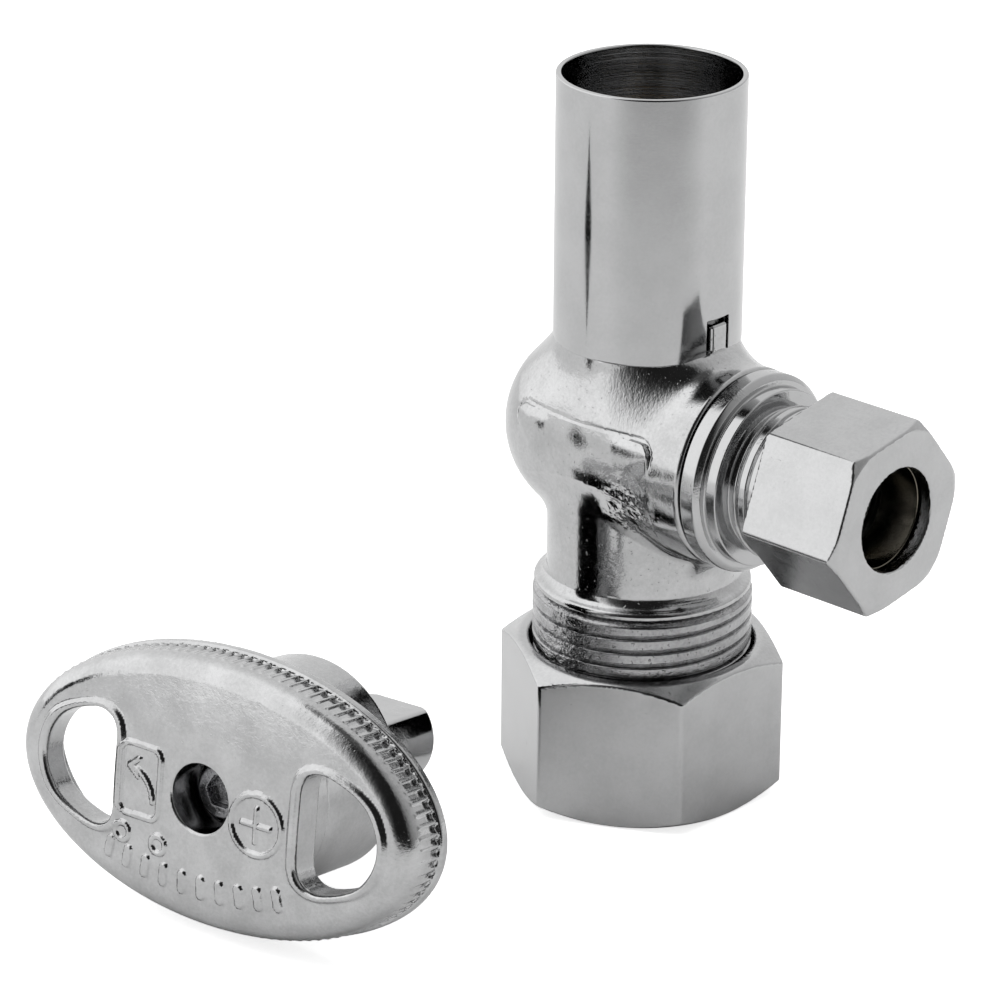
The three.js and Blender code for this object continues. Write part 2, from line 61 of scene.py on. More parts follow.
BARREL = Sizes(radius=9.4, dome=-4.9, end=12.05, edge=0.4, bore=7.3, bore_start=-8.7)
NECK = Sizes(radius=9.03, foot=20.4, shoulder=21.1, shoulder_radius=10.2, edge=0.35, fillet=1.2)
SKIRT = Sizes(radius=8.05, top=44.8, fillet=3.5, edge=0.1)
BOSS = Sizes(radius=7.85, foot=44.3, top=60.2, bore=6.35, floor=45.6, stem_hole=3.3, edge=0.4, bore_edge=0.15)
RING_GROOVE = Sizes(radius=7, bottom=58.2, top=59.4)
PAD = Sizes(middle=0.2, half_length=8.1, top=38.6, half_height=7, face=9.55, corner=1.2, rise=0.34,
            fade_from=31, fade_to=38.2, end_from=0.9, end_to=2.8, moat=0.14, moat_reach=0.22,
            face_edge=0.3, edge=0.12, fillet=0.05)
WEB = Sizes(half_width=3.2, x=9.2, z=24.9, slope=31, reach=12, edge=0.8)
LUG = Sizes(half_width=1.05, inner=7.5, outer=8.7, top=48.1, root=2, edge=0.3, fillet=0.2)
NIB = Sizes(half_width=0.8, inner=5.1, top=48.4, root=0.4, edge=0.12)
FORGING_BLEND = 0.9  # fillet where the forging's shapes meet
FORGING_CUT_EDGE = 0.2  # rounding where they are hollowed

# wall_start and wall_end are how far inside its ends a thread's crest is
INLET = Sizes(start=11.9, end=20.4, radius=13 / 32 * INCH, pitch=INCH / 18, depth=0.5, bevel=0.5,
              back_bevel=0.6, back_drop=0.85, wall_start=0.65, wall_end=0.8, edge=0.12, columns=180)
INLET_BORE = Sizes(tube=8.05, mouth=9.2, mouth_depth=2, stop=20.5, water=6.2)

TUBE = Sizes(outer=8.68, inner=8.16, bottom=44.9, top=70, edge=0.16, edge_steps=5)
NOTCH = Sizes(half_width=1.5, top=48.6, corner=0.12, turn=-1, columns=30, inside=0.999, outside=1.01)

OUTLET = Sizes(start=16.3, end=21.6, radius=9 / 32 * INCH, pitch=INCH / 24, depth=0.42, bevel=0.3,
               root=0.65, wall_start=0.5, wall_end=0.2, edge=0.15, columns=ROUND_COLUMNS)
# a groove's half widths in turns, and where it fades in from a thread's start and out to its end
GROOVE = Sizes(floor=0.05, mouth=0.19, in_from=0.1, in_to=0.5, out_from=0.7, out_to=0.2, crest=0.02)
TAIL = Sizes(radius=7, start=7.3, groove_start=8.7, groove_end=10.1, groove=6)
COLLAR = Sizes(start=12.35, end=13.85, radius=9.35, step=0.5)
LEDGE = Sizes(start=14.3, end=15.6, radius=8.3)
OUTLET_BORE = Sizes(water=3.6, tube=4.9, stop=16.8, mouth=5.9, mouth_depth=1.2, end=22)

INLET_NUT = Sizes(flats=15 / 16 * INCH, start=0, end=14.7, corner=27.6, hole=8.1, bore=10.65, lip=2.5,
                  bevel=0.35, both_ends=True, lip_at_start=True)
OUTLET_NUT = Sizes(flats=5 / 8 * INCH, start=19.26, end=29.75, corner=39.6, hole=4.85, bore=7.45, lip=1.2,
                   bevel=-0.25, both_ends=False, lip_at_start=False)
NUT_EDGE, NUT_CUT_EDGE = 0.22, 0.12
NUT_CHAMFER_ANGLE = 30

BALL = Sizes(radius=6.6, port=3.9, slot=1.2, slot_floor=39.8, edge=0.2)
SEAT = Sizes(inner=3.8, outer=7, near=4, far=7, clearance=0.3, edge=0.2)
STEM = Sizes(spindle=3, spindle_foot=42, tang_foot=40.1, tang_half_width=0.9, tang_half_length=2.8,
             head=6.05, head_foot=46.8, top=58.1, socket_floor=53.2, overlap=1,
             edge=0.15, head_edge=0.25, cut_edge=0.12)
STEM_GROOVES = Sizes(radius=4.9, half_height=0.75, heights=(50, 52))
STOP_RECESS = Sizes(inner=4.8, top=48.7, first=169, last=281)
SNAP_RING = Sizes(inner=5.1, outer=6.75, bottom=58.4, top=59.2, half_gap=20, edge=0.12)
THRUST_WASHER = Sizes(inner=3.35, outer=4.5, bottom=45.9, top=46.5)
STEM_SEAL = Sizes(radius=5.625, section=0.6)
ADAPTER_SEAL = Sizes(radius=6.65, section=0.52, place=9.4)
SEAT_SEAL = Sizes(radius=5.9, section=0.55, place=-7.85)
SEAL_POINTS, WASHER_EDGE, FERRULE_EDGE = 24, 0.08, 0.25
INLET_FERRULE = Sizes(inner=8, outer=9.35, start=2.8, end=9.2, tip=8.55, taper=1.5)
OUTLET_FERRULE = Sizes(inner=4.8, outer=5.55, start=24.05, end=28.25, tip=5.1, taper=1)

OVAL = Sizes(middle=0.35, long=22.55, short=12.65, lip=1.0, lip_edge=0.25, fillet=0.12)
KNURL = Sizes(top=3.5, inset=0.3, edge=0.2, teeth=104, depth=0.22, crest=0.1, root=0.75, samples=721)
FACE = Sizes(inset=0.38, rim=5.0, crown=0.85, shoulder=1.9)
HOLLOW = Sizes(middle=0.5, inner=10.35, long=18.55, short=9, half_height=6.1, corner=3.0, edge=0.3)
BEAD = Sizes(width=1.05, height=0.3, flank=0.15)  # round each finger opening
HUB = Sizes(radius=9.98, length=10.35, cup=9, cup_depth=3.5, edge=0.45, cut_edge=0.25)
BACK = Sizes(rim=1.7, depth=2.8, edge=0.4)  # the head is hollow behind, between its rim and the hub
WELL = Sizes(radius=3.11, floor=1, hole=2.1, web_back=-1.2, edge=0.1)
SHAFT = Sizes(radius=4.6, half_flat=3, start=-1.5, end=-23.5, bevel=0.6, tap=2.05, tap_depth=8, edge=0.25,
              end_edge=0.15)
SHAFT_GAP, SOCKET_EDGE = 0.3, 0.2
SCREW = Sizes(head=2.6, top=2.9, foot=1.9, shank=1.75, tip=-8.5, drive=1.35, drive_depth=0.9, overlap=0.5,
              head_edge=0.45, tip_edge=0.3, edge=0.1)
SCREW_WASHER = Sizes(inner=2.05, outer=2.8, bottom=1.3, top=1.6)
KEY_PLACE = Sizes(x=-7.21, y=-45.49, turn=7.32, lean=8.86, roll=1.02)

# raised marks on the key's face
RELIEF = Sizes(height=0.2, flat=0.12, foot=0.36)  # half widths of a mark at its top and its foot
FRAME_MARK = Sizes(x=-6.8, y=-0.1, half_width=2.3, half_height=3.3, corner=1.0)
ARROW = Sizes(centre=(-8.2, -1.9), radius=3.0, first=4, last=86, tip=(-8.0, 1.1),
              barbs=((-7.0, 1.9), (-7.0, 0.3)))
DIAL = Sizes(x=6.4, y=-0.8, radius=2.75, spoke=1.5)
RINGS = Sizes(centres=((-8.6, -5.3), (-4.4, -5.5)), radius=0.8)
DASHES = Sizes(count=10, step=3.2, radius=38.9, x=-0.5, y=30, length=1.3, half_width=0.22)

# colours, and patches of rougher metal in their piece's own axes
CHROME = (0.51, 0.512, 0.515)
DULL_CHROME = (0.4, 0.4, 0.405)
BRASS = (0.55, 0.45, 0.29)
# brass darkened as painted shade, for the ferrules that sit in shade inside the nuts
PAINTED_SHADE_BRASS = (0.2, 0.185, 0.15)
THROAT = Sizes(centre=(5.6, -8.6, 32.0), near=1.0, far=3.8)  # where the forging folded
NECK_SIDE = Sizes(centre=(3.8, -8.3, 25), near=0.5, far=3)
SHOULDER = Sizes(centre=(5, -6.5, 42.5), near=1, far=6)  # brushed downwards, below the tube
TORN = Sizes(centre=(-1.5, -10.3, 17), near=1, far=6)  # where the thread's plate is torn

# the studio and its cards, in metres and degrees, azimuth 0 toward -Y and 90 toward +X
ROOM = [(-180, 0.75), (-130, 0.95), (-80, 1.4), (-20, 1.35), (4, 0.12), (20, 0.02), (72, 0.02), (92, 0.35),
        (130, 0.6), (180, 0.75)]  # azimuth and brightness of the walls, dark behind the camera
CEILING = Sizes(brightness=0.1, start=72, full=84)  # dark overhead, by elevation
FLOOR_HALF = 1.5
FLOOR_LIFT = 0.75  # light added to the floor for the camera, as in a blown-out white
DARK_FLOOR = Sizes(azimuth=50, start=0.03, soft=0.5, end=1.5, half_width=1.5, near_share=0.1, lift=0.0002,
                   full_angle=15, no_angle=62)
SLIM_CARD = Sizes(azimuth=-35, distance=0.11, width=0.02, bottom=0.009, top=0.033, ends=0)
NECK_CARD = Sizes(azimuth=-11, distance=0.0168, width=0.0063, bottom=0.01, top=0.0305, ends=1)
OVERHEAD = Sizes(strength=1.05, angle=70)
CAMERA = Sizes(azimuth=43.02, elevation=22.63, roll=0.36, distance=416, lens=165.24, sensor=36,
               target=(-2.49, -17.0, 32.73))  # in millimetres

# ---- where each group stands
tube_low, tube_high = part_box("shield_tube")
stem_axis = (tube_low + tube_high) / 2
VALVE = Matrix.Translation((stem_axis.x, stem_axis.y, 0))
OUTLET_AXES = VALVE @ Matrix.Translation((0, 0, AXIS_HEIGHT * MM)) @ Matrix.Rotation(math.pi / 2, 4, "Y")


def key_axes():
    """The key stands on its rim, leaning back on its shaft."""
    roll = math.radians(KEY_PLACE.roll)
    lean = math.radians(KEY_PLACE.lean)
    reach = math.hypot((OVAL.long + OVAL.middle) * math.sin(roll), OVAL.short * math.cos(roll))
    turned = Matrix.Rotation(math.radians(KEY_PLACE.turn), 4, "Z")
    leaning = Matrix.Rotation(math.pi / 2 - lean, 4, "X")
    place = Matrix.Translation(Vector((KEY_PLACE.x, KEY_PLACE.y, reach * math.cos(lean))) * MM)
    return VALVE @ place @ turned @ leaning @ Matrix.Rotation(roll, 4, "Z")


KEY = key_axes()


# ---- shapes as distances
def common(radius, *distances):
    """Where all the shapes are, with the edges between them rounded."""
    shifted = [d + radius for d in distances]
    outside = np.sqrt(sum(np.maximum(d, 0) ** 2 for d in shifted))
    return outside + np.minimum(functools.reduce(np.maximum, shifted), 0) - radius


def joined(radius, *distances):
    """Where any of the shapes is, with a fillet between them."""
    return -common(radius, *[-d for d in distances])


def hexagon(x, y, flats, corner):
    """Distance from a hexagon's three pairs of faces, each pair by itself."""
    angles = [math.radians(corner + 30 + 60 * k) for k in range(3)]
    return [abs(x * math.cos(a) + y * math.sin(a)) - flats / 2 for a in angles]


def ellipse(x, y, long, short):
    near = np.sqrt((x / long) ** 2 + (y / short) ** 2)
    slope = np.sqrt((x / long**2) ** 2 + (y / short**2) ** 2)
    return near * (near - 1) / np.maximum(slope, 1e-6)


def union(*distances):
    return functools.reduce(np.minimum, distances)


def double_d(x, y, gap, edge):
    """The key shaft's section, a circle with two flats, grown by a gap."""
    return common(edge, np.hypot(x, y) - (SHAFT.radius + gap), abs(y) - (SHAFT.half_flat + gap))


def slab(value, low, high):
    """Distance from the layer between two values."""
    return abs(value - (high + low) / 2) - (high - low) / 2


def span(first, last):
    """The middle and the half width, in radians, of a span given in degrees."""
    return math.radians((first + last) / 2), math.radians((last - first) / 2)


def stroke(x, y, start, end):
    """Distance from a straight stroke."""
    along = np.array(end, float) - start
    share = np.clip(((x - start[0]) * along[0] + (y - start[1]) * along[1]) / (along @ along), 0, 1)
    return np.hypot(x - start[0] - share * along[0], y - start[1] - share * along[1])


def arc(x, y, centre, radius, first, last):
    """Distance from a circular stroke between two angles in degrees."""
    middle, half = span(first, last)
    dx, dy = x - centre[0], y - centre[1]
    angle = np.arctan2(-dx * math.sin(middle) + dy * math.cos(middle),
                       dx * math.cos(middle) + dy * math.sin(middle))
    nearest = np.clip(angle, -half, half) + middle
    return np.hypot(dx - radius * np.cos(nearest), dy - radius * np.sin(nearest))


def ramp(value, low, high):
    """0 below low, 1 above high, and smooth between."""
    share = np.clip((value - low) / (high - low), 0, 1)
    return share * share * (3 - 2 * share)


# ---- meshes
def surface_quads(field):
    """Points, in grid steps, and quads on the zero level of a field that is positive at its border."""
    cells = tuple(n - 1 for n in field.shape)
    size = math.prod(cells)
    sums = np.zeros((3, size))
    counts = np.zeros(size)
    quads = []
    for axis in range(3):
        near = np.take(field, range(cells[axis]), axis)
        far = np.take(field, range(1, cells[axis] + 1), axis)
        edges = np.argwhere((near < 0) != (far < 0))
        start, end = near[tuple(edges.T)], far[tuple(edges.T)]
        crossing = edges.astype(float)
        crossing[:, axis] += start / (start - end)
        corners = []
        for back in ((1, 1), (0, 1), (0, 0), (1, 0)):
            cell = edges.copy()
            cell[:, (axis + 1) % 3] -= back[0]
            cell[:, (axis + 2) % 3] -= back[1]
            flat = np.ravel_multi_index(cell.T, cells)
            counts += np.bincount(flat, minlength=size)
            for k in range(3):
                sums[k] += np.bincount(flat, crossing[:, k], size)
            corners.append(flat)
        ring = np.stack(corners, 1)
        ring[start >= 0] = ring[start >= 0][:, ::-1]
        quads.append(ring)
    used = np.flatnonzero(counts)
    number = np.zeros(size, int)
    number[used] = np.arange(len(used))
    return (sums[:, used] / counts[used]).T, number[np.concatenate(quads)]


def slope(distance, points, reach=0.01):
    """The distance function's gradient at some points."""
    columns = []
    for axis in range(3):
        step = np.zeros(3)
        step[axis] = reach
        columns.append((distance(*(points + step).T) - distance(*(points - step).T)) / (2 * reach))
    return np.stack(columns, 1)


def round_box(radius, low, high):
    """The corners of a box about the z axis."""
    return (-radius, -radius, low), (radius, radius, high)


def shaped(name, distance, low, high, step):
    """A closed mesh of the zero level of a distance function, settled onto it, with its exact normals."""
    axes = [np.arange(a - 2 * step, b + 3 * step, step) for a, b in zip(low, high)]
    field = distance(*np.meshgrid(*axes, indexing="ij", sparse=True))
    points, quads = surface_quads(np.broadcast_to(field, [len(a) for a in axes]))
    points = points * step + [a[0] for a in axes]
    for _ in range(3):
        normals = slope(distance, points)
        steep = np.maximum((normals**2).sum(1), 0.25)
        points -= normals * np.clip(distance(*points.T) / steep, -step / 2, step / 2)[:, None]
    normals = slope(distance, points)
    mesh = bpy.data.meshes.new(name)
    mesh.from_pydata((points * MM).tolist(), [], quads.tolist())
    mesh.shade_smooth()
    mesh.normals_split_custom_set_from_vertices(normals / np.linalg.norm(normals, axis=1)[:, None])
    return bpy.data.objects.new(name, mesh)


def rounded(outline, radius, steps=4):
    """A closed outline with each corner turned into an arc, no larger than its edges allow."""
    corners = np.array(outline, float)
    points = []
    for before, corner, after in zip(np.roll(corners, 1, 0), corners, np.roll(corners, -1, 0)):
        back, ahead = before - corner, after - corner
        reach = min(radius, 0.45 * math.hypot(*back), 0.45 * math.hypot(*ahead))
        back, ahead = back / math.hypot(*back), ahead / math.hypot(*ahead)
        for share in np.linspace(0, 1, steps):
            points.append(corner + reach * ((1 - share) ** 2 * back + share**2 * ahead))
    return np.array(points)


def turned(name, outline, columns=ROUND_COLUMNS, change=None):
    """A closed outline of (radius, height) points turned about z. change may move the points by angle."""
    outline = np.array(outline, float)
    x, y = outline.T
    if (x * np.roll(y, -1) - np.roll(x, -1) * y).sum() < 0:
        outline = outline[::-1]
    angles = columns if np.ndim(columns) else np.arange(columns) * (2 * math.pi / columns)
    radius, angle = np.meshgrid(outline[:, 0], angles, indexing="ij")
    height = np.broadcast_to(outline[:, 1][:, None], radius.shape)
    if change:
        radius, height = change(radius, height, angle)
    points = np.stack([radius * np.cos(angle), radius * np.sin(angle), height], 2).reshape(-1, 3)
    number = np.arange(radius.size).reshape(radius.shape)
    right = np.roll(number, -1, 1)
    quads = np.stack([number, right, np.roll(right, -1, 0), np.roll(number, -1, 0)], 2).reshape(-1, 4)
    mesh = bpy.data.meshes.new(name)
    mesh.from_pydata((points * MM).tolist(), [], quads.tolist())
    mesh.shade_smooth()
    piece = bpy.data.objects.new(name, mesh)
    piece.modifiers.new("even_normals", "WEIGHTED_NORMAL").weight = 100
    return piece


def add(piece, place, body, node, slot, look=None):
    """Puts a piece on its body, moved to the frame's axes. Its finish keeps its group's axes."""
    scene.collection.objects.link(piece)
    own_place = np.zeros(3 * len(piece.data.vertices), np.float32)
    piece.data.vertices.foreach_get("co", own_place)
    piece.data.attributes.new("own_place", "FLOAT_VECTOR", "POINT").data.foreach_set("vector", own_place)
    piece.data.transform(place)
    piece.data.materials.append(materials[look or slot])
    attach(piece, body)
    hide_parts(node)


# ---- materials
def node(tree, kind, inputs=None, **settings):
    made = tree.nodes.new(kind)
    for name, value in settings.items():
        setattr(made, name, value)
    for name, value in (inputs or {}).items():
        if isinstance(value, bpy.types.NodeSocket):
            tree.links.new(value, made.inputs[name])
        else:
            made.inputs[name].default_value = value
    return made


def math_node(tree, operation, *values):
    return node(tree, "ShaderNodeMath", dict(enumerate(values)), operation=operation).outputs[0]


def noise(tree, place, size, detail=2, roughness=0.5):
    """A noise from 0 to 1 whose features are about size millimetres across."""
    inputs = {"Vector": place, "Scale": 1 / (size * MM), "Detail": detail, "Roughness": roughness}
    return node(tree, "ShaderNodeTexNoise", inputs).outputs[0]


def levels(tree, value, low, high, to_low=0.0, to_high=1.0, curve="SMOOTHSTEP"):
    inputs = {"Value": value, "From Min": low, "From Max": high, "To Min": to_low, "To Max": to_high}
    return node(tree, "ShaderNodeMapRange", inputs, interpolation_type=curve).outputs[0]


def stretched(tree, place, x, y, z):
    """The same coordinates with each axis scaled, so that a noise is drawn out along the small ones."""
    return node(tree, "ShaderNodeVectorMath", {0: place, 1: (x, y, z)}, operation="MULTIPLY").outputs[0]


def lathe_lines(tree, place):
    """Coordinates that change with radius and height alone, for marks that run round z."""
    split = node(tree, "ShaderNodeSeparateXYZ", {0: place}).outputs
    across = math_node(tree, "POWER", split[0], 2.0)
    across = math_node(tree, "SQRT", math_node(tree, "ADD", across, math_node(tree, "POWER", split[1], 2.0)))
    return node(tree, "ShaderNodeCombineXYZ", {0: across, 1: 0.0, 2: split[2]}).outputs[0]


def bumped(tree, height, depth, below=None):
    """Adds a height from 0 to 1, depth millimetres deep, to a normal."""
    inputs = {"Height": height, "Distance": depth * MM, "Strength": 1.0}
    if below:
        inputs["Normal"] = below
    return node(tree, "ShaderNodeBump", inputs).outputs[0]


def surface(name, colour, metallic, roughness_range, relief, tint=0.04):
    """A finish whose colour and roughness drift a little. relief adds bumps, and gives the last normal."""
    material = bpy.data.materials.new(name)
    material.use_nodes = True
    tree = material.node_tree
    shader = tree.nodes["Principled BSDF"]
    place = node(tree, "ShaderNodeAttribute", attribute_name="own_place").outputs["Vector"]
    drift = noise(tree, place, 3.5, 3)
    grain = noise(tree, place, 0.35, 4, 0.75)
    wear = math_node(tree, "MULTIPLY", math_node(tree, "ADD", drift, grain), 0.5)
    darker = [c * (1 - tint) for c in colour]
    lighter = [min(c * (1 + tint), 1) for c in colour]
    ends = {0: levels(tree, wear, 0.3, 0.7), 6: (*darker, 1), 7: (*lighter, 1)}
    mixed = node(tree, "ShaderNodeMix", ends, data_type="RGBA")
    tree.links.new(mixed.outputs[2], shader.inputs["Base Color"])
    tree.links.new(levels(tree, wear, 0.3, 0.7, *roughness_range), shader.inputs["Roughness"])
    shader.inputs["Metallic"].default_value = metallic
    normal = relief(tree, place)
    if normal:
        tree.links.new(normal, shader.inputs["Normal"])
    return material


def patched(tree, place, spec, height, depth, below=None):
    """Adds a height round one place on the piece, fading to none."""
    centre = [c * MM for c in spec.centre]
    away = node(tree, "ShaderNodeVectorMath", {0: place, 1: centre}, operation="DISTANCE").outputs["Value"]
    share = levels(tree, away, spec.near * MM, spec.far * MM, 1.0, 0.0)
    return bumped(tree, math_node(tree, "MULTIPLY", share, height), depth, below)


def forged(tree, place):
    """Orange peel over slow waves, with folds at the throat, wrinkles on the neck, and small pits."""
    normal = bumped(tree, noise(tree, place, 5.0, 1), 0.12)
    normal = bumped(tree, noise(tree, place, 1.0, 4, 0.65), 0.018, normal)
    folds = noise(tree, place, 1.3)
    normal = patched(tree, place, THROAT, folds, 0.55, normal)
    wrinkles = noise(tree, stretched(tree, place, 1, 1, 1.6), 0.7, 4, 0.6)
    normal = patched(tree, place, NECK_SIDE, wrinkles, 0.06, normal)
    brush = noise(tree, stretched(tree, place, 1, 1, 0.25), 0.25, 3, 0.6)
    normal = patched(tree, place, SHOULDER, brush, 0.035, normal)
    normal = bumped(tree, noise(tree, place, 0.2, 3, 0.7), 0.005, normal)
    pits = levels(tree, noise(tree, place, 0.35, 1), 0.22, 0.32)
    return bumped(tree, pits, 0.014, normal)


def cast(tree, place):
    """Finer orange peel on the key's casting."""
    normal = bumped(tree, noise(tree, place, 4.0, 1), 0.09)
    normal = bumped(tree, noise(tree, place, 0.9, 4, 0.65), 0.03, normal)
    normal = bumped(tree, noise(tree, place, 0.2, 3, 0.7), 0.006, normal)
    return bumped(tree, levels(tree, noise(tree, place, 0.35, 1), 0.2, 0.3), 0.006, normal)


def lathe_turned(tree, place):
    """Fine turning lines, and grit where the plate is rough."""
    normal = bumped(tree, noise(tree, lathe_lines(tree, place), 0.12, 2), 0.003)
    rough = levels(tree, noise(tree, place, 3.0, 1), 0.5, 0.7)
    return bumped(tree, math_node(tree, "MULTIPLY", rough, noise(tree, place, 0.2, 3)), 0.04, normal)


def drawn_tube(tree, place):
    """Drawn tube: slow ripples, fine grain and light scuffs outside, and coarse turning lines in its bore."""
    rings = lathe_lines(tree, place)
    normal = bumped(tree, noise(tree, place, 6.0, 1), 0.02)
    normal = bumped(tree, noise(tree, stretched(tree, place, 1, 1, 3), 0.5, 3), 0.0012, normal)
    normal = bumped(tree, noise(tree, place, 0.16, 2), 0.0012, normal)
    scuffs = levels(tree, noise(tree, stretched(tree, place, 1, 1, 2.5), 0.5, 4, 0.8), 0.66, 0.8)
    normal = bumped(tree, scuffs, 0.004, normal)
    radius = node(tree, "ShaderNodeSeparateXYZ", {0: rings}).outputs[0]
    inside = levels(tree, radius, (TUBE.inner + 0.05) * MM, (TUBE.inner + 0.15) * MM, 1.0, 0.0)
    coarse = noise(tree, stretched(tree, rings, 0, 0, 1), 0.35, 3, 0.7)
    return bumped(tree, math_node(tree, "MULTIPLY", inside, coarse), 0.06, normal)


def worn(tree, place):
    """Grit and pits all over, and torn plate at one side."""
    torn = noise(tree, stretched(tree, place, 1, 1, 1.5), 0.9, 3, 0.6)
    normal = patched(tree, place, TORN, torn, 0.5)
    normal = bumped(tree, noise(tree, place, 0.4, 4, 0.7), 0.03, normal)
    normal = bumped(tree, levels(tree, noise(tree, place, 0.4, 1), 0.25, 0.35), 0.04, normal)
    return bumped(tree, noise(tree, lathe_lines(tree, place), 0.15, 2), 0.006, normal)


def brushed(tree, place):
    """Faces milled and lightly brushed across, with small dents."""
    normal = bumped(tree, noise(tree, stretched(tree, place, 1, 1, 9), 0.9, 4, 0.7), 0.003)
    normal = bumped(tree, noise(tree, place, 0.25, 3), 0.009, normal)
    return bumped(tree, levels(tree, noise(tree, place, 0.8, 1), 0.22, 0.3), 0.012, normal)


def plain_grain(tree, place):
    return bumped(tree, noise(tree, place, 0.4, 3), 0.005)


FINISHES = {
    "chrome_forging": (CHROME, 1, (0.05, 0.17), forged, 0.14),
    "worn_thread": (DULL_CHROME, 1, (0.1, 0.26), worn, 0.3),
    "chrome_tube": (CHROME, 1, (0.06, 0.13), drawn_tube, 0.06),
    "chrome_turned": (CHROME, 1, (0.07, 0.2), lathe_turned),
    "chrome_nut": (CHROME, 1, (0.12, 0.24), brushed, 0.08),
    "chrome_casting": (CHROME, 1, (0.06, 0.18), cast, 0.14),
    "ball_chrome": (CHROME, 1, (0.04, 0.08), plain_grain),
    "stem_brass": (BRASS, 1, (0.22, 0.36), lathe_turned, 0.08),
    # the ferrules' brass is darkened as painted shade
    "ferrule_brass": (PAINTED_SHADE_BRASS, 1, (0.12, 0.22), lathe_turned, 0.08),
    "seat_plastic": ((0.86, 0.86, 0.83), 0, (0.4, 0.6), plain_grain),
    "seal_rubber": ((0.02, 0.02, 0.022), 0, (0.45, 0.65), plain_grain, 0.2),
    "spring_steel": ((0.42, 0.42, 0.43), 1, (0.25, 0.4), plain_grain),
    "screw_steel": ((0.3, 0.3, 0.31), 1, (0.18, 0.34), worn, 0.3),
}
materials = {name: surface(name, *finish) for name, finish in FINISHES.items()}


# ---- valve body
def forging(x, y, z):
    """Barrel with a domed end, neck, skirt, side pads, throat web and lug, hollowed for water and ball."""
    upright = np.hypot(x, y)
    height = z - AXIS_HEIGHT
    beyond = np.minimum(x - BARREL.dome, 0)
    barrel = common(BARREL.edge, np.sqrt(beyond**2 + y**2 + height**2) - BARREL.radius, x - BARREL.end)
    neck = np.maximum(upright - NECK.radius, height)
    shoulder = common(NECK.edge, upright - NECK.shoulder_radius, z - NECK.shoulder)
    skirt = np.maximum(common(SKIRT.edge, upright - SKIRT.radius, z - SKIRT.top), -height)
    plan = common(PAD.corner, abs(x - PAD.middle) - PAD.half_length,
                  abs(z - PAD.top + PAD.half_height) - PAD.half_height)
    ends = np.clip(2 * abs(x - PAD.middle) / PAD.half_length - 1, 0, 1) * (PAD.top - z)
    share = ramp(z, PAD.fade_from, PAD.fade_to) * (1 - ramp(ends, PAD.end_from, PAD.end_to))
    faces = common(PAD.face_edge, barrel - PAD.rise * share, abs(y) - PAD.face)
    pads = common(PAD.edge, faces, plan)
    beside = abs(plan - PAD.moat_reach)
    barrel = barrel + PAD.moat * share * (1 - ramp(beside, 0, PAD.moat_reach))
    slope_angle = math.radians(WEB.slope)
    under = (x - WEB.x) * math.sin(slope_angle) - (z - WEB.z) * math.cos(slope_angle)
    web = common(WEB.edge, abs(y) - WEB.half_width, under, x - WEB.reach, height, -x)
    barrel = joined(SKIRT.fillet, barrel, skirt)
    barrel = joined(PAD.fillet, barrel, pads)
    body = joined(FORGING_BLEND, barrel, joined(NECK.fillet, neck, shoulder), web)
    lug = common(LUG.edge, abs(y) - LUG.half_width, slab(x, LUG.inner, LUG.outer),
                 z - LUG.top, SKIRT.top - LUG.root - z)
    body = joined(LUG.fillet, body, lug)
    chamber = np.maximum(np.hypot(y, height) - BARREL.bore, BARREL.bore_start - x)
    waterway = np.maximum(upright - INLET_BORE.water, height)
    socket = np.maximum(upright - INLET_BORE.tube, z - INLET_BORE.stop)
    stem_hole = np.maximum(upright - BOSS.stem_hole, -height)
    hollow = union(chamber, waterway, socket, stem_hole)
    return common(FORGING_CUT_EDGE, body, -hollow, NECK.foot - z)


def boss(x, y, z):
    """The boss inside the shield tube, with the stem's bore, the snap ring's groove and the stop nib."""
    radius = np.hypot(x, y)
    outside = common(BOSS.edge, radius - BOSS.radius, z - BOSS.top, BOSS.foot - z)
    bore = np.maximum(radius - BOSS.bore, BOSS.floor - z)
    groove = np.maximum(radius - RING_GROOVE.radius, slab(z, RING_GROOVE.bottom, RING_GROOVE.top))
    wall = common(BOSS.bore_edge, outside, -bore, -groove, BOSS.stem_hole - radius)
    nib = common(NIB.edge, abs(y) - NIB.half_width, x + NIB.inner, z - NIB.top,
                 BOSS.floor - NIB.root - z, radius - BOSS.bore - NIB.root)
    return np.minimum(wall, nib)


def thread(spec):
    """Moves a crest's points in to cut a right-handed helical groove, faded at both ends."""
    def change(radius, height, angle):
        turns = (height - spec.start) / spec.pitch - angle / (2 * math.pi)
        groove = 1 - ramp(abs(turns - np.round(turns)), GROOVE.floor, GROOVE.mouth)
        faded_in = ramp(height, spec.start + GROOVE.in_from, spec.start + GROOVE.in_to)
        fade = faded_in * (1 - ramp(height, spec.end - GROOVE.out_from, spec.end - GROOVE.out_to))
        crest = radius > spec.radius - GROOVE.crest
        return radius - crest * spec.depth * groove * fade, height
    return change


def threaded(name, corners, spec, wall_step=0.06):
    """A turned piece with a thread cut in the wall at its radius, which gets closely spaced points."""
    outline = rounded(corners, spec.edge).tolist()
    crest = [k for k, point in enumerate(outline) if abs(point[0] - spec.radius) < 1e-6]
    start, end = spec.start + spec.wall_start, spec.end - spec.wall_end
    heights = [*np.arange(start, end, wall_step), end]
    outline[crest[0] + 1:crest[-1]] = [(spec.radius, height) for height in heights]
    return turned(name, outline, spec.columns, thread(spec))


def inlet_end():
    """The male inlet thread, with the supply tube's socket inside it."""
    start, end, bevel = INLET.start, INLET.end, INLET.bevel
    bore = INLET_BORE
    return threaded("InletThread", [
        (INLET.radius - bevel, start),
        (INLET.radius, start + bevel),
        (INLET.radius, end - INLET.back_bevel),
        (INLET.radius - INLET.back_drop, end),
        (bore.tube, end),
        (bore.tube, start + bore.mouth_depth),
        (bore.mouth, start),
    ], INLET)


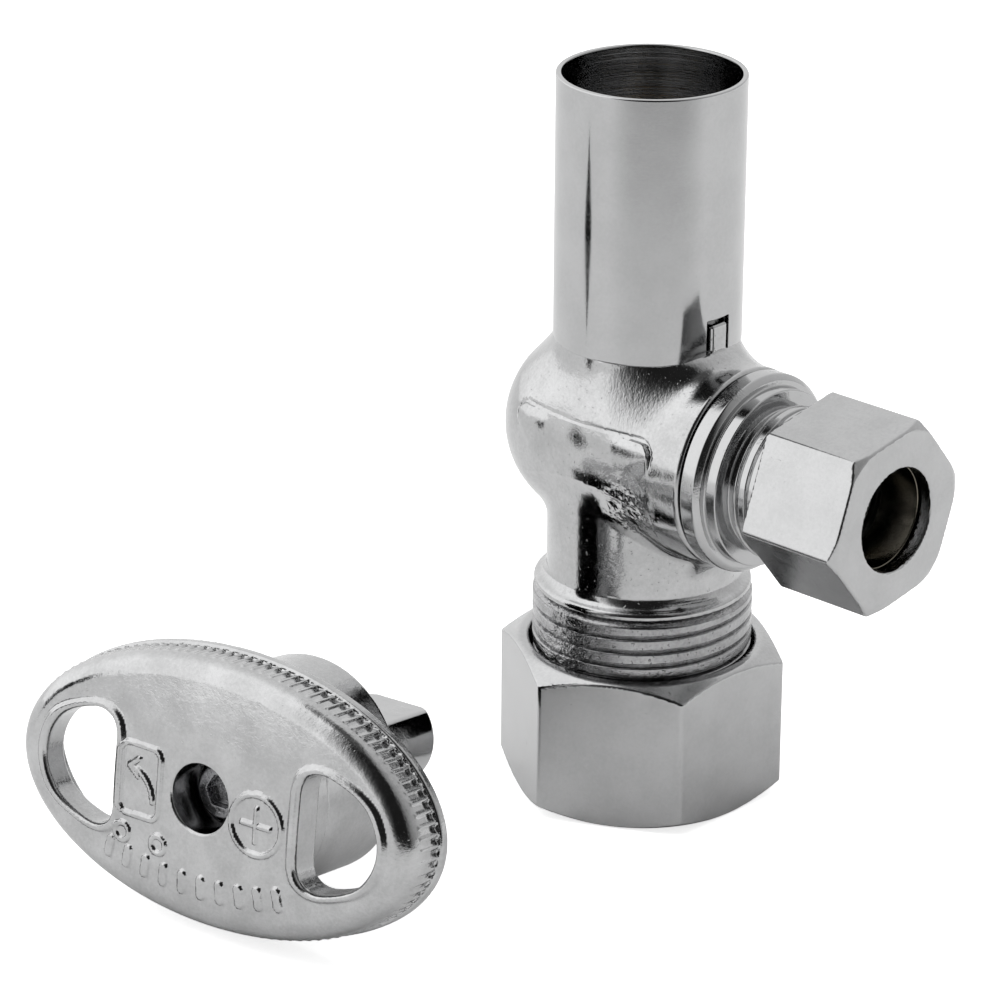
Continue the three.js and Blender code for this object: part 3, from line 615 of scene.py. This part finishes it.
def make_body():
    low = (BARREL.dome - BARREL.radius, -NECK.shoulder_radius, NECK.foot)
    high = (BARREL.end, NECK.shoulder_radius, LUG.top)
    add(shaped("Forging", forging, low, high, STEP), VALVE, "valve", "valve_body", "chrome_forging")
    box = round_box(BOSS.radius, BOSS.foot, BOSS.top)
    add(shaped("Boss", boss, *box, STEP), VALVE, "valve", "valve_body", "chrome_forging")
    add(inlet_end(), VALVE, "valve", "valve_body", "chrome_forging", "worn_thread")


# ---- shield tube
def notched(radius, height, angle):
    """Lifts the tube's lower edge over the lug."""
    aside = abs((angle + math.pi - math.radians(NOTCH.turn)) % (2 * math.pi) - math.pi) * TUBE.outer
    into_corner = np.clip(aside - NOTCH.half_width + NOTCH.corner, 0, NOTCH.corner)
    top = NOTCH.top - NOTCH.corner + np.sqrt(NOTCH.corner ** 2 - into_corner**2)
    lowest = np.where(aside < NOTCH.half_width, top, TUBE.bottom)
    return radius, np.where(height < NOTCH.top, lowest + (height - TUBE.bottom), height)


def make_tube():
    outline = rounded([
        (TUBE.inner, TUBE.bottom),
        (TUBE.outer, TUBE.bottom),
        (TUBE.outer, TUBE.top),
        (TUBE.inner, TUBE.top),
    ], TUBE.edge, TUBE.edge_steps)
    half = NOTCH.half_width / TUBE.outer
    inside, outside = half * NOTCH.inside, half * NOTCH.outside
    across = np.linspace(-inside, inside, NOTCH.columns)
    even = np.linspace(outside, 2 * math.pi - outside, ROUND_COLUMNS)
    columns = np.concatenate([across, even]) + math.radians(NOTCH.turn)
    add(turned("ShieldTube", outline, columns, notched), VALVE, "valve", "shield_tube", "chrome_tube")


# ---- outlet adapter
def make_adapter():
    bore = OUTLET_BORE
    root = OUTLET.radius - OUTLET.root
    adapter = threaded("OutletAdapter", [
        (bore.water, TAIL.start),
        (TAIL.radius, TAIL.start),
        (TAIL.radius, TAIL.groove_start),
        (TAIL.groove, TAIL.groove_start),
        (TAIL.groove, TAIL.groove_end),
        (TAIL.radius, TAIL.groove_end),
        (TAIL.radius, COLLAR.start),
        (COLLAR.radius, COLLAR.start),
        (COLLAR.radius, COLLAR.end),
        (COLLAR.radius - COLLAR.step, LEDGE.start),
        (LEDGE.radius, LEDGE.start),
        (LEDGE.radius, LEDGE.end),
        (root, LEDGE.end),
        (root, OUTLET.start),
        (OUTLET.radius, OUTLET.start + OUTLET.bevel),
        (OUTLET.radius, OUTLET.end),
        (root, bore.end),
        (bore.mouth, bore.end),
        (bore.tube, bore.end - bore.mouth_depth),
        (bore.tube, bore.stop),
        (bore.water, bore.stop),
    ], OUTLET)
    add(adapter, OUTLET_AXES, "valve", "outlet_adapter", "chrome_turned")


# ---- nuts
def hexagon_nut(x, y, z, spec):
    """A hexagon with its corners turned off, bored out to a lip at one end."""
    radius = np.hypot(x, y)
    slant = math.radians(NUT_CHAMFER_ANGLE)
    face = spec.flats / 2 - spec.bevel
    faces = hexagon(x, y, spec.flats, spec.corner)
    ends = [z - spec.end, spec.start - z]
    chamfered = ends if spec.both_ends else ends[:1]
    cones = [(radius - face) * math.sin(slant) + end * math.cos(slant) for end in chamfered]
    past_lip = spec.start + spec.lip - z if spec.lip_at_start else z - spec.end + spec.lip
    bore = np.maximum(radius - spec.bore, past_lip)
    body = common(NUT_EDGE, *faces, *ends)
    return common(NUT_CUT_EDGE, body, *cones, -np.minimum(radius - spec.hole, bore))


def make_nuts():
    for name, spec, place, body, cad in (
        ("InletNut", INLET_NUT, VALVE, "inlet_nut_body", "inlet_nut"),
        ("OutletNut", OUTLET_NUT, OUTLET_AXES, "outlet_nut_body", "outlet_nut"),
    ):
        reach = spec.flats / 2 / math.cos(math.pi / 6)
        shape = functools.partial(hexagon_nut, spec=spec)
        piece = shaped(name, shape, *round_box(reach, spec.start, spec.end), STEP)
        add(piece, place, body, cad, "chrome_nut")


# ---- ball, seats, stem and seals
def ball(x, y, z):
    height = z - AXIS_HEIGHT
    sphere = np.sqrt(x**2 + y**2 + height**2) - BALL.radius
    down = np.maximum(np.hypot(x, y) - BALL.port, height)
    across = np.maximum(np.hypot(y, height) - BALL.port, -x - BALL.port / 2)
    slot = np.maximum(abs(y) - BALL.slot, BALL.slot_floor - z)
    return common(BALL.edge, sphere, -union(down, across, slot))


def seat(x, y, z, side):
    """A seat ring about the outlet's axis, hollowed to the ball's curve."""
    radius = np.hypot(x, y)
    sphere = np.sqrt(x**2 + y**2 + z**2) - BALL.radius - SEAT.clearance
    return common(SEAT.edge, radius - SEAT.outer, SEAT.inner - radius, SEAT.near - side * z,
                  side * z - SEAT.far, -sphere)


def stem(x, y, z):
    """Spindle, tang, grooved head and the key's socket, with the recess that the stop nib runs in."""
    radius = np.hypot(x, y)
    spindle = common(STEM.edge, radius - STEM.spindle, STEM.spindle_foot - z,
                     z - STEM.head_foot - STEM.overlap)
    head = common(STEM.head_edge, radius - STEM.head, STEM.head_foot - z, z - STEM.top)
    tang = common(STEM.edge, abs(x) - STEM.tang_half_length, abs(y) - STEM.tang_half_width,
                  STEM.tang_foot - z, z - STEM.spindle_foot - STEM.overlap)
    cuts = [np.maximum(STEM_GROOVES.radius - radius, abs(z - height) - STEM_GROOVES.half_height)
            for height in STEM_GROOVES.heights]
    cuts.append(np.maximum(double_d(x, y, SHAFT_GAP, SOCKET_EDGE), STEM.socket_floor - z))
    middle, half = span(STOP_RECESS.first, STOP_RECESS.last)
    along = x * math.cos(middle) + y * math.sin(middle)
    aside = abs(y * math.cos(middle) - x * math.sin(middle))
    sector = aside * math.cos(half) - along * math.sin(half)
    cuts.append(functools.reduce(np.maximum, [sector, STOP_RECESS.inner - radius, z - STOP_RECESS.top]))
    solid = union(spindle, head, tang)
    return common(STEM.cut_edge, solid, -union(*cuts))


def snap_ring(x, y, z):
    """A flat ring, open on its +X side."""
    radius = np.hypot(x, y)
    half = math.radians(SNAP_RING.half_gap)
    gap = abs(y) * math.cos(half) - x * math.sin(half)
    return common(SNAP_RING.edge, radius - SNAP_RING.outer, SNAP_RING.inner - radius,
                  slab(z, SNAP_RING.bottom, SNAP_RING.top), -gap)


def seal(name, spec, place):
    """An O-ring at a height."""
    radius, section = spec.radius, spec.section
    angles = np.linspace(0, 2 * math.pi, SEAL_POINTS, endpoint=False)
    outline = [(radius + section * math.cos(a), place + section * math.sin(a)) for a in angles]
    return turned(name, outline, SMALL_COLUMNS)


def washer(name, spec):
    low, high = spec.bottom, spec.top
    corners = [(spec.inner, low), (spec.outer, low), (spec.outer, high), (spec.inner, high)]
    return turned(name, rounded(corners, WASHER_EDGE), SMALL_COLUMNS)


def ferrule(name, spec):
    start, end, taper = spec.start, spec.end, spec.taper
    corners = [(spec.inner, start), (spec.tip, start), (spec.outer, start + taper),
               (spec.outer, end - taper), (spec.tip, end), (spec.inner, end)]
    return turned(name, rounded(corners, FERRULE_EDGE), FERRULE_COLUMNS)


def make_inside():
    box = round_box(BALL.radius, AXIS_HEIGHT - BALL.radius, AXIS_HEIGHT + BALL.radius)
    add(shaped("Ball", ball, *box, COARSE_STEP), VALVE, "stem_and_ball", "ball", "ball_chrome")
    for name, side, cad in (("FrontSeat", 1, "front_seat"), ("RearSeat", -1, "rear_seat")):
        box = round_box(SEAT.outer, *sorted((side * SEAT.near, side * SEAT.far)))
        piece = shaped(name, functools.partial(seat, side=side), *box, COARSE_STEP)
        add(piece, OUTLET_AXES, "valve", cad, "seat_plastic")
    box = round_box(STEM.head, STEM.tang_foot, STEM.top)
    add(shaped("Stem", stem, *box, STEP), VALVE, "stem_and_ball", "stem", "stem_brass")
    box = round_box(SNAP_RING.outer, SNAP_RING.bottom, SNAP_RING.top)
    add(shaped("SnapRing", snap_ring, *box, RING_STEP), VALVE, "valve", "stem_retaining_ring", "spring_steel")
    add(washer("ThrustWasher", THRUST_WASHER), VALVE, "valve", "stem_thrust_washer", "seat_plastic")
    for name, height, cad in zip(("LowerStemSeal", "UpperStemSeal"), STEM_GROOVES.heights,
                                 ("stem_o_ring_lower", "stem_o_ring_upper")):
        add(seal(name, STEM_SEAL, height), VALVE, "stem_and_ball", cad, "seal_rubber")
    for name, spec, cad in (("AdapterSeal", ADAPTER_SEAL, "adapter_o_ring"),
                            ("SeatSeal", SEAT_SEAL, "seat_o_ring")):
        add(seal(name, spec, spec.place), OUTLET_AXES, "valve", cad, "seal_rubber")
    # ferrules, in brass darkened as painted shade
    for name, spec, place, body, cad in (
        ("InletFerrule", INLET_FERRULE, VALVE, "inlet_sleeve", "inlet_ferrule"),
        ("OutletFerrule", OUTLET_FERRULE, OUTLET_AXES, "outlet_sleeve", "outlet_ferrule"),
    ):
        add(ferrule(name, spec), place, body, cad, "ferrule_brass")


# ---- key
def finger_openings(x, y):
    """Distance from the two openings' outline, below 0 inside them."""
    aside = abs(x)
    return common(HOLLOW.corner, ellipse(x, y, HOLLOW.long, HOLLOW.short), HOLLOW.inner - aside,
                  abs(y) - HOLLOW.half_height)


def marks(x, y):
    """Distance from the raised marks: a framed quarter-turn arrow, a dial, two rings and dashes."""
    frame_line = abs(common(FRAME_MARK.corner, abs(x - FRAME_MARK.x) - FRAME_MARK.half_width,
                            abs(y - FRAME_MARK.y) - FRAME_MARK.half_height))
    arrow = arc(x, y, ARROW.centre, ARROW.radius, ARROW.first, ARROW.last)
    lines = [frame_line, arrow] + [stroke(x, y, ARROW.tip, barb) for barb in ARROW.barbs]
    across, up, spoke = DIAL.x, DIAL.y, DIAL.spoke
    lines.append(abs(np.hypot(x - across, y - up) - DIAL.radius))
    lines.append(stroke(x, y, (across - spoke, up), (across + spoke, up)))
    lines.append(stroke(x, y, (across, up - spoke), (across, up + spoke)))
    lines += [abs(np.hypot(x - ring_x, y - ring_y) - RINGS.radius) for ring_x, ring_y in RINGS.centres]
    for k in range(DASHES.count):
        angle = math.radians(DASHES.step * (k - (DASHES.count - 1) / 2) - 90)
        out = np.array((math.cos(angle), math.sin(angle)))
        start = out * DASHES.radius + (DASHES.x, DASHES.y)
        lines.append(stroke(x, y, start, start - out * DASHES.length) - DASHES.half_width)
    return union(*lines)


def knurl_phase(x, y):
    """How far round the oval a point is, as a number of teeth, even along the edge."""
    angles = np.linspace(0, 2 * math.pi, KNURL.samples)
    edge_x, edge_y = OVAL.long * np.cos(angles), OVAL.short * np.sin(angles)
    run = np.concatenate([[0], np.cumsum(np.hypot(np.diff(edge_x), np.diff(edge_y)))])
    angle = np.arctan2(y / OVAL.short, x / OVAL.long) % (2 * math.pi)
    return np.interp(angle, angles, run / run[-1]) * KNURL.teeth


def key_plate(x, y, z):
    """The oval head: lip, knurled band, and a crowned face with beads, marks and finger openings."""
    across = x - OVAL.middle
    edge = ellipse(across, y, OVAL.long, OVAL.short)
    tooth = abs(2 * (knurl_phase(across, y) % 1) - 1)
    lip = common(OVAL.lip_edge, edge, z - OVAL.lip, -z)
    cut = KNURL.depth * ramp(tooth, KNURL.crest, KNURL.root)
    band = common(KNURL.edge, edge + KNURL.inset + cut, z - KNURL.top, OVAL.lip / 2 - z)
    opening = finger_openings(x - HOLLOW.middle, y)
    reach = np.clip((across / OVAL.long) ** 2 + (y / OVAL.short) ** 2, 0, 1)
    off_bead = abs(opening - BEAD.width / 2)
    bead = BEAD.height * (1 - ramp(off_bead, BEAD.flank, BEAD.width / 2 + BEAD.flank))
    mark = RELIEF.height * (1 - ramp(marks(x, y), RELIEF.flat, RELIEF.foot))
    top = FACE.rim + FACE.crown * (1 - reach) + bead + mark
    front = common(FACE.shoulder, edge + FACE.inset, z - top, OVAL.lip / 2 - z)
    head = joined(OVAL.fillet, lip, band, front)
    radius = np.hypot(x, y)
    well = common(WELL.edge, radius - WELL.radius, WELL.floor - z)
    hollow = common(BACK.edge, edge + BACK.rim, HUB.radius - radius, z - BACK.depth)
    return common(HOLLOW.edge, head, -opening + 0 * z, -np.minimum(well, radius - WELL.hole), -hollow)


def key_hub(x, y, z):
    """The hub behind the head: a cup that goes over the shield tube, with the shaft's socket in its floor."""
    radius = np.hypot(x, y)
    outside = common(HUB.edge, radius - HUB.radius, -z - HUB.length, z - OVAL.lip / 2)
    cup = np.maximum(radius - HUB.cup, z + HUB.length - HUB.cup_depth)
    socket = np.maximum(double_d(x, y, SHAFT_GAP, SOCKET_EDGE), z - WELL.web_back)
    return common(HUB.cut_edge, outside, -union(cup, socket, radius - WELL.hole))


def key_shaft(x, y, z):
    """The driving shaft, bevelled at its tip and tapped for the screw."""
    radius = np.hypot(x, y)
    bar = double_d(x, y, 0, SHAFT.edge)
    tip = (radius - SHAFT.radius + SHAFT.bevel - (z - SHAFT.end)) / math.sqrt(2)
    tap = np.maximum(radius - SHAFT.tap, SHAFT.start - SHAFT.tap_depth - z)
    return common(SHAFT.end_edge, bar + 0 * z, tip, SHAFT.end - z, z - SHAFT.start, -tap)


def key_screw(x, y, z):
    """A pan head with a hexagon recess, on its shank."""
    radius = np.hypot(x, y)
    head = common(SCREW.head_edge, radius - SCREW.head, z - SCREW.top, SCREW.foot - z)
    shank = common(SCREW.tip_edge, radius - SCREW.shank, SCREW.tip - z,
                   z - SCREW.foot - SCREW.overlap)
    drive = common(SCREW.edge, *hexagon(x, y, 2 * SCREW.drive, 0))
    recess = np.maximum(drive, SCREW.top - SCREW.drive_depth - z)
    return common(SCREW.edge, np.minimum(head, shank), -recess)


def make_key():
    low = (OVAL.middle - OVAL.long, -OVAL.short, 0)
    high = (OVAL.middle + OVAL.long, OVAL.short, FACE.rim + FACE.crown + RELIEF.height)
    add(shaped("KeyHead", key_plate, low, high, KEY_STEP), KEY, "key", "key_handle", "chrome_casting")
    box = round_box(HUB.radius, -HUB.length, OVAL.lip / 2)
    add(shaped("KeyHub", key_hub, *box, STEP), KEY, "key", "key_handle", "chrome_casting")
    box = round_box(SHAFT.radius, SHAFT.end, SHAFT.start)
    add(shaped("KeyShaft", key_shaft, *box, STEP), KEY, "key", "key_shaft", "chrome_turned")
    box = round_box(SCREW.head, SCREW.tip, SCREW.top)
    add(shaped("KeyScrew", key_screw, *box, SCREW_STEP), KEY, "key", "key_screw", "screw_steel")
    add(washer("KeyScrewWasher", SCREW_WASHER), KEY, "key", "key_screw_washer", "spring_steel")


# ---- floor, light and camera
def direction(azimuth):
    """A level direction, 0 toward -Y and 90 toward +X."""
    angle = math.radians(azimuth)
    return Vector((math.sin(angle), -math.cos(angle), 0))


def sheet_of(name, corners):
    mesh = bpy.data.meshes.new(name)
    mesh.from_pydata(corners, [], [range(len(corners))])
    piece = bpy.data.objects.new(name, mesh)
    scene.collection.objects.link(piece)
    return piece


def make_floor():
    """A pale floor, lifted to white where the camera sees it. It has no own_place, so its finish is even."""
    half = FLOOR_HALF
    floor = sheet_of("floor", [(-half, -half, 0), (half, -half, 0), (half, half, 0), (-half, half, 0)])
    material = surface("pale_floor", (0.92, 0.92, 0.92), 0, (0.8, 0.9), lambda tree, place: None, 0.01)
    tree = material.node_tree
    seen = node(tree, "ShaderNodeLightPath").outputs["Is Camera Ray"]
    shader = tree.nodes["Principled BSDF"]
    shader.inputs["Specular IOR Level"].default_value = 0
    shader.inputs["Emission Color"].default_value = (1, 1, 1, 1)
    tree.links.new(math_node(tree, "MULTIPLY", seen, FLOOR_LIFT), shader.inputs["Emission Strength"])
    floor.data.materials.append(material)


def unseen(piece):
    """Leaves a card in reflections only."""
    piece.visible_camera = False
    piece.visible_diffuse = False
    piece.visible_shadow = False
    piece.visible_transmission = False


def black_card(name, corners, spread=None):
    """A black card for the chrome to reflect. spread, if given, makes the nodes for how black it is."""
    card = sheet_of(name, corners)
    unseen(card)
    material = bpy.data.materials.new(name)
    material.use_nodes = True
    tree = material.node_tree
    tree.nodes.remove(tree.nodes["Principled BSDF"])
    black = node(tree, "ShaderNodeEmission", {"Color": (0, 0, 0, 1), "Strength": 0.0}).outputs[0]
    clear = node(tree, "ShaderNodeBsdfTransparent").outputs[0]
    share = spread(tree) if spread else 1.0
    mixed = node(tree, "ShaderNodeMixShader", {0: share, 1: clear, 2: black}).outputs[0]
    tree.links.new(mixed, tree.nodes["Material Output"].inputs["Surface"])
    card.data.materials.append(material)


def dark_floor_share(tree):
    """How black the floor in front is: more with distance from the valve, and less to the sides."""
    spec = DARK_FLOOR
    place = node(tree, "ShaderNodeTexCoord").outputs["Object"]
    foot = stem_axis * Vector((1, 1, 0))
    away = node(tree, "ShaderNodeVectorMath", {0: place, 1: foot}, operation="SUBTRACT").outputs[0]
    far = node(tree, "ShaderNodeVectorMath", {0: away}, operation="LENGTH").outputs["Value"]
    heading = node(tree, "ShaderNodeVectorMath", {0: away}, operation="NORMALIZE").outputs[0]
    facing = {0: heading, 1: direction(spec.azimuth)}
    ahead = node(tree, "ShaderNodeVectorMath", facing, operation="DOT_PRODUCT")
    sides = [math.cos(math.radians(angle)) for angle in (spec.no_angle, spec.full_angle)]
    return math_node(tree, "MULTIPLY", levels(tree, far, spec.start, spec.start + spec.soft),
                     levels(tree, ahead.outputs["Value"], *sides))


def make_cards():
    """The dark studio beyond the floor in front, and two cards that draw lines down the tube and the neck."""
    spec = DARK_FLOOR
    ahead, aside = direction(spec.azimuth), direction(spec.azimuth + 90)
    near, far = stem_axis + ahead * spec.start, stem_axis + ahead * spec.end
    corners = []
    for point, side in ((near, -spec.near_share), (near, spec.near_share), (far, 1), (far, -1)):
        corner = point + aside * side * spec.half_width
        corners.append((corner.x, corner.y, spec.lift))
    black_card("dark_floor", corners, dark_floor_share)
    for name, card in (("slim_card", SLIM_CARD), ("neck_card", NECK_CARD)):
        middle = stem_axis + direction(card.azimuth) * card.distance
        side = direction(card.azimuth + 90) * card.width / 2
        end = side * card.ends
        bottom, top = card.bottom, card.top
        waist = (bottom + top) / 2
        outline = ((end, bottom), (side, waist), (end, top), (-end, top), (-side, waist), (-end, bottom))
        black_card(name, [(middle.x + out.x, middle.y + out.y, height) for out, height in outline])


def make_world():
    """A white room, brightest at the left and dark behind the camera. The camera itself sees plain white."""
    world = bpy.data.worlds.new("studio")
    scene.world = world
    world.use_nodes = True
    tree = world.node_tree
    heading = node(tree, "ShaderNodeTexCoord").outputs["Generated"]
    split = node(tree, "ShaderNodeSeparateXYZ", {0: heading}).outputs
    azimuth = math_node(tree, "ARCTAN2", split[0], math_node(tree, "MULTIPLY", split[1], -1.0))
    share = levels(tree, azimuth, -math.pi, math.pi, curve="LINEAR")
    ramp_node = node(tree, "ShaderNodeValToRGB", {0: share})
    stops = ramp_node.color_ramp.elements
    while len(stops) < len(ROOM):
        stops.new(0.5)
    for stop, (angle, bright) in zip(stops, ROOM):
        stop.position = (angle + 180) / 360
        stop.color = (bright, bright, bright, 1)
    heights = [math.sin(math.radians(angle)) for angle in (CEILING.start, CEILING.full)]
    high = levels(tree, split[2], *heights)
    ceiling = (CEILING.brightness,) * 3 + (1,)
    walls = node(tree, "ShaderNodeMix", {0: high, 6: ramp_node.outputs[0], 7: ceiling}, data_type="RGBA")
    seen = node(tree, "ShaderNodeLightPath").outputs["Is Camera Ray"]
    shown = node(tree, "ShaderNodeMix", {0: seen, 6: walls.outputs[2], 7: (1, 1, 1, 1)}, data_type="RGBA")
    tree.links.new(shown.outputs[2], tree.nodes["Background"].inputs["Color"])


def make_lights():
    """A wide soft light from above that the chrome doesn't show."""
    light = bpy.data.lights.new("overhead", "SUN")
    light.energy = OVERHEAD.strength
    light.angle = math.radians(OVERHEAD.angle)
    lamp = bpy.data.objects.new("overhead", light)
    lamp.visible_glossy = False
    scene.collection.objects.link(lamp)


def make_camera():
    camera = bpy.data.objects.new("camera", bpy.data.cameras.new("camera"))
    camera.data.sensor_width = CAMERA.sensor
    camera.data.lens = CAMERA.lens
    turn = Matrix.Rotation(math.radians(CAMERA.azimuth), 4, "Z")
    tilt = Matrix.Rotation(math.radians(90 - CAMERA.elevation), 4, "X")
    facing = turn @ tilt @ Matrix.Rotation(math.radians(CAMERA.roll), 4, "Z")
    target = VALVE @ Vector([c * MM for c in CAMERA.target])
    back = facing.to_3x3().col[2]
    camera.matrix_world = Matrix.Translation(target + back * CAMERA.distance * MM) @ facing
    camera.data.clip_start, camera.data.clip_end = 0.01, 20
    scene.collection.objects.link(camera)
    scene.camera = camera


make_body()
make_tube()
make_adapter()
make_nuts()
make_inside()
make_key()
make_floor()
make_cards()
make_world()
make_lights()
make_camera()
scene.view_settings.view_transform = "Standard"
